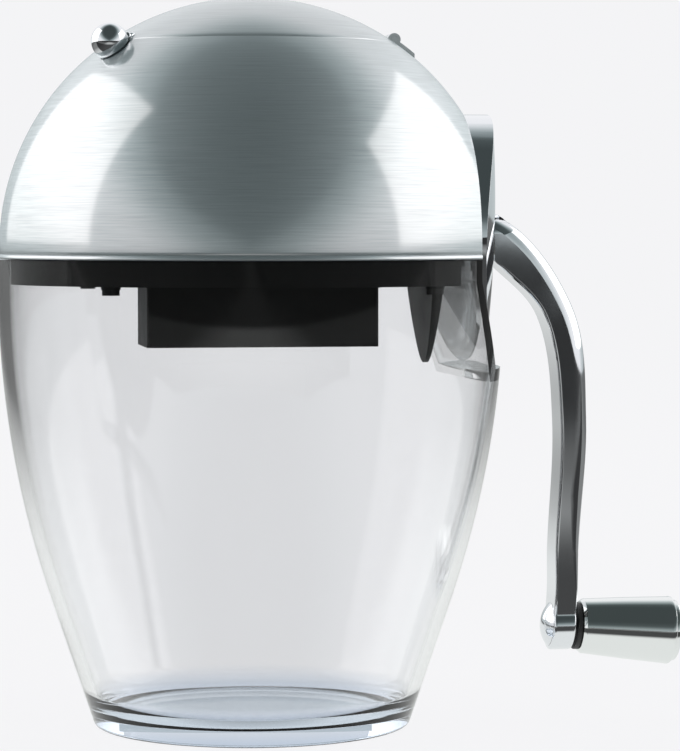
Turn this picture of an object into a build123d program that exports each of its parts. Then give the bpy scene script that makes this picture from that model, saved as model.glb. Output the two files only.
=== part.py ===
from build123d import *
import os
from math import asin, cos, radians, sin, sqrt, tan

os.makedirs("parts", exist_ok=True)

# Hand-cranked ice crusher: a clear jar, and a steel dome that lifts off it with the crushing rotor inside.
# Millimetres, +Z up. The origin is the middle of the jar's underside, and the crank is on the +X side.

# Clearances
running_gap = 0.05  # radial, of a shaft in its bush and of a bush in its seat
stack_gap = 0.05  # between parts threaded on the shaft
seat_gap = 0.3  # between the jar's rim and the head that stands on it
screw_gap = 0.1  # radial, of a screw in its hole

# Jar
jar_radius = 84.0
jar_height = 155.2
jar_wall = 3.8
jar_floor = 5.8
belly_radius = 333.0  # of the curved side, in section
widest_drop = 7.2  # from the rim to the widest place
taper_height = 41.4  # below this the side is a straight cone
foot_rounding = 2.0
floor_fillet = 11.0
rim_rounding = 0.8

# Flat recess in the jar's crank side
facet_depth = 16.2  # at the rim, from the jar's round outside
facet_bend_drop = 7.2  # the flat leans outwards below this
ledge_depth = 8.0
ledge_drop = 35.8

# Dome
dome_sheet = 1.0
dome_skirt = 2.6  # straight height under the half sphere
hem_proud = 0.5
hem_height = 1.5
filling_radius = 48.3

# Lid
lid_gap = 0.4
lid_lip = 1.0
lid_lip_depth = 3.2
knob_radius = 6.0
knob_turn = 25.0  # degrees towards -Y, from the side opposite the hinge
knob_reach = 5.9  # of its middle, outside the filling hole's edge
knob_stand = 3.0  # of its middle, over the dome
knob_stud_radius = 1.3
knob_stud_inset = 6.3  # of the stud's end, inside the filling hole's edge
dimple_gap = 0.5
hinge_inset = 1.8  # from the filling hole's edge
hinge_rise = 1.6  # over the seam
knuckle_radius = 2.1
knuckle_length = 10.0
ear_length = 4.5
hinge_side_gap = 0.3
hinge_pin_radius = 1.1
bracket_foot = 6.0
bracket_start = 0.8  # of either sheet, from the pin's axis
bracket_sheet = 1.1
bracket_dome_gap = 0.1  # from the sheet of the dome or lid
leaf_foot = 12.0  # reach of the leaf under the lid

# Crank axis and shield
crank_rise = 7.0  # over the head's underside
shield_radius = 41.0
shield_proud = 12.6  # of the middle of the shield, from the dome's flat
shield_curve = 96.0  # radius of its face in plan
shield_wall = 2.0
shield_edge = 3.0
shield_top_fall = 1.1  # of the face's profile behind its foremost place
shield_low_fall = 1.1
shield_bottom_fall = 3.6
shield_back_gap = 0.8  # to the jar's recess
shield_flat_gap = 0.2
shield_post_radius = 3.6
shield_screw_circle = 27.0
shield_screw_depth = 6.0

# Chassis
plug_gap = 0.5
plug_depth = 8.3
plug_wall = 2.5
plug_flat_gap = 6.0  # to the inside of the jar's flat
deck_thickness = 2.5
flange_thickness = 2.0
chute_middle_x = 1.75
chute_half_width = 17.0
chute_drop = 20.7  # below the deck
chute_wall = 2.5
chute_end_wall = 3.0
chute_corner = 1.5
chamber_side_gap = 4.0  # from the blades to the long walls
chamber_end_gap = 10.0  # from the outer blades to the end walls
chamber_head_gap = 1.5
tongue_half_width = 20.5
tongue_drop = 26.8
tongue_root = 3.3
tongue_tip_thickness = 1.4
tongue_haunch = 0.62  # width of the pointed end at two fifths of its height, over its full width
screw_pad_inset = 7.6  # from the plug's outside
screw_pad_radius = 3.0
screw_pad_proud = 1.0
lug_gap = 0.7  # from the flange to the dome's lugs
lug_thickness = 2.5
post_gap = 0.2
post_radius = 3.5

# Hopper
hopper_wall = 2.0
hopper_drop = 7.7  # from the seam to the hopper's top
hopper_mouth_inset = 2.3  # from the filling hole's edge
hopper_flange = 1.5
hopper_dome_gap = 0.6

# Rotor
rotor_radius = 20.0
blade_count = 5
blade_thickness = 2.5
blade_pitch = 12.0
blade_teeth = 6
blade_root = 10.0
blade_twist = 12.0
blade_rake = 4.0  # degrees that each biting edge leans
blade_hollow = 0.62  # place of the deepest part of a tooth's back, over the tooth's step
spacer_radius = 7.0
rotor_gap = 1.5  # to the trough in the deck
shaft_square = 5.6
journal_radius = 4.0
tail_radius = 2.6
end_play = 2.0
shaft_recess = 0.5  # of the shaft's end in the arm's hub
clip_gap = 0.4  # to the bush's flange
clip_thickness = 0.8
clip_groove = 0.6

# Combs
comb_sheet = 2.0
comb_below_axis = 4.5
comb_finger = 6.0
comb_tip = 8.5
comb_root_gap = 1.0
comb_leg = 13.0
comb_screw_rise = 9.0
comb_screw_spread = 24.0

# Bushes
bush_wall = 2.0
bush_flange = 1.5
bush_flange_proud = 0.9

# Crank arm
arm_width = 14.0
arm_start_gap = 0.7  # from the shield's middle to the arm's hub
hub_radius = 8.3
hub_length = 7.0
grip_height = 30.5
grip_tilt = 4.0
arm_reach = 24.5  # of the grip's end, from the hub
arm_eye_thickness = 7.8
arm_eye_radius = 8.3
arm_root_angle = 35.0  # below level, of the arm as it leaves the hub
arm_bend_angle = 66.0
arm_half_root = 7.4
arm_half_bend = 5.4
arm_half_middle = 4.9
arm_straight = 9.0  # above the grip's axis

# Grip
grip_start = 6.4  # from the middle of the arm's eye, along the grip's axis
grip_length = 32.0
grip_small_radius = 9.3
grip_large_radius = 11.6
grip_bevel = 1.2
grip_pin_radius = 3.0
grip_pin_head_radius = 5.0
grip_pin_head = 2.5
grip_counterbore = 8.0
grip_counterbore_gap = 1.0
cap_thickness = 2.0
cap_step = 1.2
rivet_head_radius = 7.4
rivet_head_height = 2.8
washer_thickness = 1.6
washer_radius = 8.0

# Screws
small_screw_radius = 1.5
small_screw_head = 2.7
screw_head_height = 1.8

# Places worked out from the sizes above
widest_height = jar_height - widest_drop
facet_x = jar_radius - facet_depth
facet_bend_height = jar_height - facet_bend_drop
ledge_x = jar_radius - ledge_depth
ledge_height = jar_height - ledge_drop
head_base = jar_height + seat_gap
dome_radius = jar_radius - hem_proud
dome_centre = head_base + dome_skirt
dome_flat_x = facet_x + shield_flat_gap
shield_back_x = dome_flat_x + shield_flat_gap
shield_front_x = dome_flat_x + shield_proud
seam_height = dome_centre + sqrt(dome_radius**2 - filling_radius**2)
knob_out = filling_radius + knob_reach
knob_height = dome_centre + sqrt((dome_radius + knob_stand) ** 2 - knob_out**2)
knob_way = (-cos(radians(knob_turn)), -sin(radians(knob_turn)))
knob_place = (knob_out * knob_way[0], knob_out * knob_way[1], knob_height)
hinge_x = filling_radius - hinge_inset
hinge_height = seam_height + hinge_rise
crank_height = head_base + crank_rise
plug_radius = jar_radius - jar_wall - plug_gap
plug_flat_x = facet_x - jar_wall - plug_flat_gap
deck_bottom = head_base - plug_depth
deck_top = deck_bottom + deck_thickness
flange_radius = dome_radius - dome_sheet - seat_gap
chamber_half_length = (blade_count - 1) / 2 * blade_pitch + blade_thickness / 2 + chamber_end_gap
chamber_low_x = chute_middle_x - chamber_half_length
chamber_high_x = chute_middle_x + chamber_half_length
chute_low_x = chamber_low_x - chute_end_wall
chute_high_x = chamber_high_x + chute_end_wall
chute_bottom = deck_bottom - chute_drop
chamber_half_width = rotor_radius + chamber_side_gap
chamber_outer_width = chamber_half_width + chute_wall
chamber_top = crank_height + rotor_radius + chamber_head_gap
tongue_tip = deck_bottom - tongue_drop
tongue_root_x = plug_flat_x + tongue_root
tongue_tip_x = tongue_root_x - tongue_tip_thickness
hopper_top = seam_height - hopper_drop
hopper_mouth = filling_radius - hopper_mouth_inset
hopper_flange_radius = sqrt((dome_radius - dome_sheet) ** 2 - (hopper_top - dome_centre) ** 2) - hopper_dome_gap
stack_low_x = chamber_low_x + end_play
stack_high_x = chamber_high_x - end_play
hub_x = shield_front_x + arm_start_gap
shaft_end_x = hub_x + hub_length - shaft_recess
bush_radius = journal_radius + running_gap + bush_wall
blade_places = [chute_middle_x + (i - (blade_count - 1) / 2) * blade_pitch for i in range(blade_count)]
comb_height = crank_height - comb_below_axis
comb_screw_height = comb_height + comb_screw_rise
comb_root = rotor_radius + comb_root_gap
screw_pad_offset = (plug_radius - screw_pad_inset) / sqrt(2)
screw_pads = [(x, y) for x in (-screw_pad_offset, screw_pad_offset) for y in (-screw_pad_offset, screw_pad_offset)]
lug_bottom = head_base + flange_thickness + lug_gap
shield_screws = [
    (shield_screw_circle * cos(radians(angle)), shield_screw_circle * sin(radians(angle)))
    for angle in (30, 90, 150)
]
notch_width = knuckle_length + 2 * (hinge_side_gap + ear_length) + 2 * hinge_side_gap
hinge_plane = Plane(origin=(hinge_x, 0, hinge_height), x_dir=(1, 0, 0), z_dir=(0, 1, 0))
crank_plane = Plane(origin=(0, 0, crank_height), x_dir=(0, 1, 0), z_dir=(1, 0, 0))
grip_lean = radians(grip_tilt)
arm_eye_x = hub_x + arm_reach
grip_plane = Plane(
    origin=(arm_eye_x, 0, grip_height), x_dir=(0, 1, 0), z_dir=(cos(grip_lean), 0, -sin(grip_lean))
)


def save(builder, name):
    builder.part.label = name
    export_step(builder.part, f"parts/{name}.step")


# ---------------------------------------------------------------- jar


def jar_section(inset, bottom, corner):
    """Half section of the jar's form, moved in by inset, from bottom to above the rim."""
    lean = asin((widest_height - taper_height) / belly_radius)
    curve = belly_radius - inset
    cone_top_r = jar_radius - belly_radius + curve * cos(lean)
    cone_top_z = widest_height - curve * sin(lean)
    foot_r = cone_top_r - (cone_top_z - bottom) * tan(lean)
    side_r = jar_radius - inset
    top = jar_height + (1 if inset else 0)
    with BuildSketch(Plane.XZ) as section:
        with BuildLine():
            Line((0, bottom), (foot_r, bottom))
            Line((foot_r, bottom), (cone_top_r, cone_top_z))
            TangentArc((cone_top_r, cone_top_z), (side_r, widest_height), tangent=(sin(lean), cos(lean)))
            Polyline((side_r, widest_height), (side_r, top), (0, top), (0, bottom))
        make_face()
        fillet(section.vertices().sort_by_distance((foot_r, bottom))[0], radius=corner)
    return section.sketch


def recess_section(grow):
    """Side view of the space that the recess takes out of the jar, grown by a wall or a gap."""
    far = jar_radius + 20
    above = jar_height + 60
    with BuildSketch(Plane.XZ) as section:
        with BuildLine():
            Polyline(
                (facet_x, above), (facet_x, facet_bend_height), (ledge_x, ledge_height), (far, ledge_height),
                (far, above), close=True,
            )
        make_face()
        if grow:
            offset(amount=grow, kind=Kind.INTERSECTION)
    return section.sketch


with BuildPart() as jar_inside:
    revolve(jar_section(jar_wall, jar_floor, floor_fillet), axis=Axis.Z)
    extrude(recess_section(jar_wall), amount=jar_radius, both=True, mode=Mode.SUBTRACT)

with BuildPart() as container:
    revolve(jar_section(0, 0, foot_rounding), axis=Axis.Z)
    extrude(recess_section(0), amount=jar_radius, both=True, mode=Mode.SUBTRACT)
    add(jar_inside.part, mode=Mode.SUBTRACT)
    rim = container.faces().sort_by(Axis.Z)[-1]
    fillet(rim.edges(), radius=rim_rounding)
save(container, "container")

# ---------------------------------------------------------------- dome


def ball_section(radius):
    """Half section of a half sphere with its short straight skirt."""
    with BuildSketch(Plane.XZ) as section:
        with BuildLine():
            Line((0, head_base), (radius, head_base))
            Line((radius, head_base), (radius, dome_centre))
            RadiusArc((radius, dome_centre), (0, dome_centre + radius), -radius)
            Line((0, dome_centre + radius), (0, head_base))
        make_face()
    return section.sketch


lug_reach = dome_radius - dome_sheet / 2

with BuildPart() as dome_ball:
    revolve(ball_section(dome_radius), axis=Axis.Z)

with BuildPart() as dome_inside:
    revolve(ball_section(dome_radius - dome_sheet), axis=Axis.Z)
    with Locations((dome_flat_x - dome_sheet, 0, dome_centre)):
        Box(dome_radius, 3 * dome_radius, 3 * dome_radius, align=(Align.MIN, Align.CENTER, Align.CENTER),
            mode=Mode.SUBTRACT)

with BuildPart() as dimple:
    with Locations(knob_place):
        Sphere(knob_radius + dimple_gap + dome_sheet)
    add(dome_ball.part, mode=Mode.INTERSECT)

with BuildPart() as lug:
    with BuildSketch(Plane.XY.offset(lug_bottom)):
        for angle in (45, 135, 225, 315):
            with Locations(Rot(0, 0, angle)):
                with Locations((lug_reach, 0)):
                    Rectangle(2 * (lug_reach - sqrt(2) * screw_pad_offset), 2 * post_radius + 2)
    extrude(amount=lug_thickness)
    add(dome_ball.part, mode=Mode.INTERSECT)

with BuildPart() as dome_shell:
    revolve(ball_section(dome_radius), axis=Axis.Z)
    with BuildSketch(Plane.XY.offset(head_base)):
        Circle(dome_radius + hem_proud)
        Circle(dome_radius - dome_sheet, mode=Mode.SUBTRACT)
    extrude(amount=hem_height)
    with Locations((dome_flat_x, 0, dome_centre)):
        Box(dome_radius, 3 * dome_radius, 3 * dome_radius, align=(Align.MIN, Align.CENTER, Align.CENTER),
            mode=Mode.SUBTRACT)
    add(dome_inside.part, mode=Mode.SUBTRACT)
    add(dimple.part)
    add(lug.part)
    with BuildSketch(Plane.XY.offset(dome_centre)):
        Circle(filling_radius)
    extrude(amount=2 * dome_radius, mode=Mode.SUBTRACT)
    with Locations(knob_place):
        Sphere(knob_radius + dimple_gap, mode=Mode.SUBTRACT)
    with BuildSketch(hinge_plane):
        Circle(knuckle_radius + hinge_side_gap)
    extrude(amount=notch_width / 2, both=True, mode=Mode.SUBTRACT)
    with BuildSketch(crank_plane):
        Circle(bush_radius + seat_gap)
        with Locations(*shield_screws):
            Circle(small_screw_radius + screw_gap)
    extrude(amount=jar_radius, mode=Mode.SUBTRACT)
    with BuildSketch(Plane.XY.offset(lug_bottom - 1)):
        with Locations(*screw_pads):
            Circle(small_screw_radius + screw_gap)
    extrude(amount=lug_thickness + 2, mode=Mode.SUBTRACT)
save(dome_shell, "dome_shell")

# ---------------------------------------------------------------- lid

lid_outer_radius = filling_radius - lid_gap


def cap_height(radius, across):
    """Height of a sphere about the dome's centre, at a distance across from its axis."""
    return dome_centre + sqrt(radius**2 - across**2)


with BuildPart() as lid_cap:
    with BuildSketch(Plane.XZ):
        with BuildLine():
            outer_edge = cap_height(dome_radius, lid_outer_radius)
            lip_bottom = outer_edge - lid_lip_depth
            lip_inside = lid_outer_radius - lid_lip
            inner_radius = dome_radius - dome_sheet
            RadiusArc((lid_outer_radius, outer_edge), (0, dome_centre + dome_radius), -dome_radius)
            Line((0, dome_centre + dome_radius), (0, dome_centre + inner_radius))
            RadiusArc((0, dome_centre + inner_radius), (lip_inside, cap_height(inner_radius, lip_inside)),
                      inner_radius)
            Polyline((lip_inside, cap_height(inner_radius, lip_inside)), (lip_inside, lip_bottom),
                     (lid_outer_radius, lip_bottom), (lid_outer_radius, outer_edge))
        make_face()
    revolve(axis=Axis.Z)
    with Locations((hinge_x - knuckle_radius - hinge_side_gap, 0, hinge_height)):
        Box(dome_radius, notch_width, 3 * knob_radius, align=(Align.MIN, Align.CENTER, Align.CENTER),
            mode=Mode.SUBTRACT)
    stud_out = filling_radius - knob_stud_inset
    stud_end = (stud_out * knob_way[0], stud_out * knob_way[1], cap_height(dome_radius - dome_sheet / 2, stud_out))
    knob_direction = Vector(*stud_end) - Vector(*knob_place)
    knob_plane = Plane(origin=knob_place, x_dir=(knob_way[1], -knob_way[0], 0), z_dir=knob_direction)
    with BuildSketch(knob_plane):
        Circle(knob_stud_radius + running_gap)
    extrude(amount=knob_direction.length, mode=Mode.SUBTRACT)
save(lid_cap, "lid_cap")

with BuildPart() as lid_knob:
    with Locations(knob_place):
        Sphere(knob_radius)
    with BuildSketch(knob_plane):
        Circle(knob_stud_radius)
    extrude(amount=knob_direction.length)
save(lid_knob, "lid_knob")


def sphere_sheet(inner, sheet, low_x, high_x, width):
    """A strip of sheet that follows a sphere about the dome's centre."""
    with BuildPart() as strip:
        with Locations((0, 0, dome_centre)):
            Sphere(inner + sheet)
            Sphere(inner, mode=Mode.SUBTRACT)
        with Locations(((low_x + high_x) / 2, 0, dome_centre + inner)):
            Box(high_x - low_x, width, dome_radius, mode=Mode.INTERSECT)
    return strip.part


leaf_strip = sphere_sheet(dome_radius - dome_sheet - bracket_dome_gap - bracket_sheet, bracket_sheet,
                          hinge_x - leaf_foot, hinge_x - bracket_start, knuckle_length)
foot_strip = sphere_sheet(dome_radius + bracket_dome_gap, bracket_sheet, hinge_x + bracket_start,
                          hinge_x + bracket_start + bracket_foot, knuckle_length + 2 * hinge_side_gap + 2 * ear_length)

with BuildPart() as lid_hinge_leaf:
    with BuildSketch(hinge_plane):
        Circle(knuckle_radius)
    extrude(amount=knuckle_length / 2, both=True)
    add(leaf_strip)
    with BuildSketch(hinge_plane):
        Circle(hinge_pin_radius + running_gap)
    extrude(amount=knuckle_length, both=True, mode=Mode.SUBTRACT)
save(lid_hinge_leaf, "lid_hinge_leaf")

with BuildPart() as hinge_bracket:
    for side in (-1, 1):
        ear_middle = side * (knuckle_length / 2 + hinge_side_gap + ear_length / 2)
        with BuildSketch(hinge_plane.offset(ear_middle)):
            Circle(knuckle_radius)
        extrude(amount=ear_length / 2, both=True)
    add(foot_strip)
    with BuildSketch(hinge_plane):
        Circle(knuckle_radius + hinge_side_gap)
    extrude(amount=knuckle_length / 2 + hinge_side_gap, both=True, mode=Mode.SUBTRACT)
    with BuildSketch(hinge_plane):
        Circle(hinge_pin_radius + running_gap)
    extrude(amount=2 * knuckle_length, both=True, mode=Mode.SUBTRACT)
save(hinge_bracket, "hinge_bracket")

with BuildPart() as hinge_pin:
    with BuildSketch(hinge_plane):
        Circle(hinge_pin_radius)
    extrude(amount=knuckle_length / 2 + hinge_side_gap + ear_length, both=True)
save(hinge_pin, "hinge_pin")

# ---------------------------------------------------------------- shield


def shield_form(inset):
    """The shield's body: a round plug along X with a barrel-shaped front, all moved in by inset."""
    axis_x = shield_front_x - shield_curve
    top = crank_height + shield_radius
    foremost = crank_height + 0.3 * shield_radius
    low = crank_height - 0.35 * shield_radius
    bottom = crank_height - shield_radius
    reach = shield_curve - inset
    with BuildSketch(Plane(origin=(axis_x, 0, 0), x_dir=(1, 0, 0), z_dir=(0, -1, 0))) as profile:
        with BuildLine():
            Spline((reach - shield_top_fall, top + 1), (reach, foremost), (reach - shield_low_fall, low),
                   (reach - shield_bottom_fall, bottom - 1))
            Polyline((reach - shield_bottom_fall, bottom - 1), (0, bottom - 1), (0, top + 1),
                     (reach - shield_top_fall, top + 1))
        make_face()
    with BuildPart() as form:
        revolve(profile.sketch, axis=Axis((axis_x, 0, 0), (0, 0, 1)))
        with BuildSketch(crank_plane):
            Circle(shield_radius - inset)
        extrude(amount=2 * jar_radius, mode=Mode.INTERSECT)
    return form.part


with BuildPart() as shield_room:
    extrude(recess_section(-shield_back_gap), amount=shield_radius + 5, both=True)
    with Locations((shield_back_x, 0, head_base)):
        Box(dome_radius, 3 * shield_radius, 2 * shield_radius, align=(Align.MIN, Align.CENTER, Align.MIN))

with BuildPart() as shield_hollow:
    add(shield_form(shield_wall))
    with BuildSketch(crank_plane):
        Circle(bush_radius + shield_wall)
        with Locations(*shield_screws):
            Circle(shield_post_radius)
    extrude(amount=2 * jar_radius, mode=Mode.SUBTRACT)

with BuildPart() as side_shield:
    add(shield_form(0))
    front_edges = side_shield.edges().filter_by(lambda e: e.bounding_box().min.X > shield_back_x - 4)
    fillet(front_edges.filter_by(GeomType.LINE, reverse=True), radius=shield_edge)
    add(shield_room.part, mode=Mode.INTERSECT)
    add(shield_hollow.part, mode=Mode.SUBTRACT)
    with BuildSketch(crank_plane.offset(shield_back_x)):
        Circle(bush_radius + running_gap)
        with Locations(*shield_screws):
            Circle(small_screw_radius - screw_gap)
    extrude(amount=shield_screw_depth, mode=Mode.SUBTRACT)
    with BuildSketch(crank_plane):
        Circle(bush_radius + running_gap)
    extrude(amount=2 * jar_radius, mode=Mode.SUBTRACT)
save(side_shield, "side_shield")

# ---------------------------------------------------------------- chassis


def box_between(low, high, mode=Mode.ADD):
    """A box given by its lowest and highest corners."""
    middle = [(a + b) / 2 for a, b in zip(low, high)]
    with Locations(tuple(middle)):
        Box(*[b - a for a, b in zip(low, high)], mode=mode)


with BuildPart() as chassis:
    # plug: a shallow cup with a flat towards the crank
    with BuildSketch(Plane.XY.offset(deck_bottom)):
        Circle(plug_radius)
    extrude(amount=plug_depth)
    box_between((plug_flat_x, -jar_radius, 0), (jar_radius, jar_radius, jar_height * 2), Mode.SUBTRACT)
    with BuildSketch(Plane.XY.offset(deck_top)):
        Circle(plug_radius - plug_wall)
    extrude(amount=plug_depth, mode=Mode.SUBTRACT)
    flat_half_width = sqrt((plug_radius - plug_wall) ** 2 - (plug_flat_x - plug_wall) ** 2)
    box_between((plug_flat_x - plug_wall, -flat_half_width, deck_bottom), (plug_flat_x, flat_half_width, head_base))
    # flange that stands on the jar's rim and flat
    with BuildSketch(Plane.XY.offset(head_base), mode=Mode.PRIVATE) as plug_mouth:
        Circle(plug_radius - plug_wall)
        with Locations((plug_flat_x - plug_wall, 0)):
            Rectangle(jar_radius, 2 * jar_radius, align=(Align.MIN, Align.CENTER), mode=Mode.SUBTRACT)
    with BuildSketch(Plane.XY.offset(head_base)):
        Circle(flange_radius)
        add(plug_mouth.sketch, mode=Mode.SUBTRACT)
    extrude(amount=flange_thickness)
    box_between((dome_flat_x - dome_sheet - seat_gap, -jar_radius, head_base),
                (jar_radius, jar_radius, jar_height * 2), Mode.SUBTRACT)
    # chute below the deck
    with BuildSketch(Plane.XY.offset(chute_bottom)):
        with Locations((chute_middle_x, 0)):
            RectangleRounded(chute_high_x - chute_low_x, 2 * chute_half_width, chute_corner)
    extrude(amount=deck_top - chute_bottom)
    # chamber above the deck
    box_between((chute_low_x, -chamber_outer_width, deck_bottom), (chute_high_x, chamber_outer_width, chamber_top))
    box_between((chamber_low_x, -chamber_half_width, deck_top), (chamber_high_x, chamber_half_width, chamber_top + 1),
                Mode.SUBTRACT)
    box_between((chamber_low_x, chute_wall - chute_half_width, chute_bottom - 1),
                (chamber_high_x, chute_half_width - chute_wall, chamber_top), Mode.SUBTRACT)
    with BuildSketch(crank_plane.offset(chamber_low_x)):
        Circle(rotor_radius + rotor_gap)
    extrude(amount=chamber_high_x - chamber_low_x, mode=Mode.SUBTRACT)
    # tongue inside the jar's flat
    with BuildSketch(Plane.XZ):
        with BuildLine():
            Polyline(
                (plug_flat_x - 1, head_base + flange_thickness), (tongue_root_x, head_base + flange_thickness),
                (tongue_tip_x, tongue_tip), (tongue_tip_x - tongue_tip_thickness, tongue_tip),
                (plug_flat_x - 1, deck_bottom), close=True,
            )
        make_face()
    extrude(amount=tongue_half_width, both=True)
    with BuildSketch(Plane(origin=(tongue_tip_x - 3, 0, 0), x_dir=(0, 1, 0), z_dir=(1, 0, 0))):
        with Locations((0, tongue_tip - 5)):
            Rectangle(3 * tongue_half_width, deck_bottom - tongue_tip + 5, align=(Align.CENTER, Align.MIN))
        with BuildLine():
            Line((-tongue_half_width, deck_bottom), (tongue_half_width, deck_bottom))
            haunch_height = 0.4 * deck_bottom + 0.6 * tongue_tip
            Spline((tongue_half_width, deck_bottom), (tongue_haunch * tongue_half_width, haunch_height),
                   (0, tongue_tip), (-tongue_haunch * tongue_half_width, haunch_height),
                   (-tongue_half_width, deck_bottom))
        make_face(mode=Mode.SUBTRACT)
    extrude(amount=8, mode=Mode.SUBTRACT)
    # screw posts and their pads under the deck
    with BuildSketch(Plane.XY.offset(deck_bottom - screw_pad_proud)):
        with Locations(*screw_pads):
            Circle(screw_pad_radius)
    extrude(amount=plug_depth)
    with BuildSketch(Plane.XY.offset(deck_bottom)):
        with Locations(*screw_pads):
            Circle(post_radius)
    extrude(amount=lug_bottom - post_gap - deck_bottom)
    with BuildSketch(Plane.XY.offset(deck_bottom - 5)):
        with Locations(*screw_pads):
            Circle(small_screw_radius + screw_gap)
    extrude(amount=jar_height, mode=Mode.SUBTRACT)
    # bush seats and comb screws
    with BuildSketch(crank_plane):
        Circle(bush_radius + running_gap)
    extrude(amount=jar_radius, mode=Mode.SUBTRACT)
    with BuildSketch(crank_plane.offset(plug_flat_x - 2 * plug_wall)):
        Circle(bush_radius + bush_flange_proud + seat_gap)
    extrude(amount=jar_radius, mode=Mode.SUBTRACT)
    with BuildSketch(crank_plane):
        Circle(tail_radius + bush_wall + 2 * running_gap)
    extrude(amount=-jar_radius, mode=Mode.SUBTRACT)
    with BuildSketch(Plane.XZ):
        with Locations((chute_middle_x - comb_screw_spread, comb_screw_height),
                       (chute_middle_x + comb_screw_spread, comb_screw_height)):
            Circle(small_screw_radius + screw_gap)
    extrude(amount=jar_radius, both=True, mode=Mode.SUBTRACT)
save(chassis, "chassis")

# ---------------------------------------------------------------- hopper

hopper_bottom = chamber_top + 0.2


def funnel(inset):
    """The hopper's form between the chamber's rectangle and the round mouth, moved in by inset."""
    with BuildPart() as form:
        with BuildSketch(Plane.XY.offset(hopper_bottom)):
            with Locations((chute_middle_x, 0)):
                RectangleRounded(chute_high_x - chute_low_x - 2 * inset, 2 * chamber_outer_width - 2 * inset, 4)
        with BuildSketch(Plane.XY.offset(hopper_top)):
            Circle(hopper_mouth - inset)
        loft()
    return form.part


with BuildPart() as hopper:
    add(funnel(0))
    with BuildSketch(Plane.XY.offset(hopper_top - hopper_flange)):
        Circle(hopper_flange_radius)
    extrude(amount=hopper_flange)
    add(funnel(hopper_wall), mode=Mode.SUBTRACT)
    with Locations(knob_place):
        Sphere(knob_radius + dimple_gap + dome_sheet + seat_gap, mode=Mode.SUBTRACT)
save(hopper, "hopper")

# ---------------------------------------------------------------- combs

comb_half_length = (chamber_high_x - chamber_low_x) / 2 - 0.3
finger_places = [chute_middle_x + (i - blade_count / 2) * blade_pitch for i in range(blade_count + 1)]


def comb(side):
    """A folded sheet: a leg against the chamber's wall, and fingers that point at the shaft."""
    wall_y = chamber_half_width - 0.05
    with BuildPart() as sheet:
        with BuildSketch(Plane.XY.offset(comb_height - comb_sheet / 2)):
            with Locations((chute_middle_x, side * (comb_root + wall_y) / 2)):
                Rectangle(2 * comb_half_length, wall_y - comb_root)
            for x in finger_places:
                with BuildLine():
                    half = comb_finger / 2
                    Polyline((x - half, side * comb_root), (x - half, side * (comb_tip + half)), (x, side * comb_tip),
                             (x + half, side * (comb_tip + half)), (x + half, side * comb_root), close=True)
                make_face()
        extrude(amount=comb_sheet)
        box_between((chute_middle_x - comb_half_length, min(side * wall_y, side * (wall_y - comb_sheet)), comb_height),
                    (chute_middle_x + comb_half_length, max(side * wall_y, side * (wall_y - comb_sheet)),
                     comb_height + comb_leg))
        with BuildSketch(Plane.XZ):
            with Locations((chute_middle_x - comb_screw_spread, comb_screw_height),
                           (chute_middle_x + comb_screw_spread, comb_screw_height)):
                Circle(small_screw_radius + screw_gap)
        extrude(amount=-side * chamber_half_width, mode=Mode.SUBTRACT)
    return sheet


front_comb = comb(-1)
save(front_comb, "front_comb")
rear_comb = comb(1)
save(rear_comb, "rear_comb")

# ---------------------------------------------------------------- bushes


def bush(start_x, length, bore, flange_x):
    """A plain bush along the crank's axis with a flange that starts at flange_x."""
    with BuildPart() as tube:
        with BuildSketch(crank_plane.offset(start_x)):
            Circle(bore + running_gap + bush_wall)
        extrude(amount=length)
        with BuildSketch(crank_plane.offset(flange_x)):
            Circle(bore + running_gap + bush_wall + bush_flange_proud)
        extrude(amount=bush_flange)
        with BuildSketch(crank_plane.offset(start_x)):
            Circle(bore + running_gap)
        extrude(amount=length, mode=Mode.SUBTRACT)
    return tube


left_bush = bush(chute_low_x - bush_flange, chamber_low_x - chute_low_x + bush_flange, tail_radius,
                 chute_low_x - bush_flange)
save(left_bush, "left_bush")
right_bush = bush(chamber_high_x, chute_high_x - chamber_high_x + bush_flange, journal_radius, chute_high_x)
save(right_bush, "right_bush")
shield_bush_start = dome_flat_x - dome_sheet - bush_flange
shield_bush = bush(shield_bush_start, shield_front_x + arm_start_gap / 2 - shield_bush_start, journal_radius,
                   shield_bush_start)
save(shield_bush, "shield_bush")

# ---------------------------------------------------------------- rotor

clip_x = chute_low_x - bush_flange - clip_gap - clip_thickness
shaft_tail = 1.5  # past the clip

with BuildPart() as rotor_shaft:
    with BuildSketch(crank_plane.offset(clip_x - shaft_tail)):
        Circle(tail_radius)
    extrude(amount=stack_low_x - clip_x + shaft_tail)
    with BuildSketch(crank_plane.offset(stack_low_x)):
        Rectangle(shaft_square, shaft_square)
    extrude(amount=stack_high_x - stack_low_x)
    with BuildSketch(crank_plane.offset(stack_high_x)):
        Circle(journal_radius)
    extrude(amount=shaft_end_x - stack_high_x)
    with BuildSketch(crank_plane.offset(clip_x - stack_gap)):
        Circle(tail_radius)
        Circle(tail_radius - clip_groove, mode=Mode.SUBTRACT)
    extrude(amount=clip_thickness + 2 * stack_gap, mode=Mode.SUBTRACT)
save(rotor_shaft, "rotor_shaft")

with BuildPart() as shaft_clip:
    with BuildSketch(crank_plane.offset(clip_x)):
        Circle(tail_radius + 2)
        Circle(tail_radius - clip_groove + running_gap, mode=Mode.SUBTRACT)
        with Locations((0, -tail_radius - 1)):
            Rectangle(2 * tail_radius - 2, 2 * tail_radius, mode=Mode.SUBTRACT)
    extrude(amount=clip_thickness)
save(shaft_clip, "shaft_clip")


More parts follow.
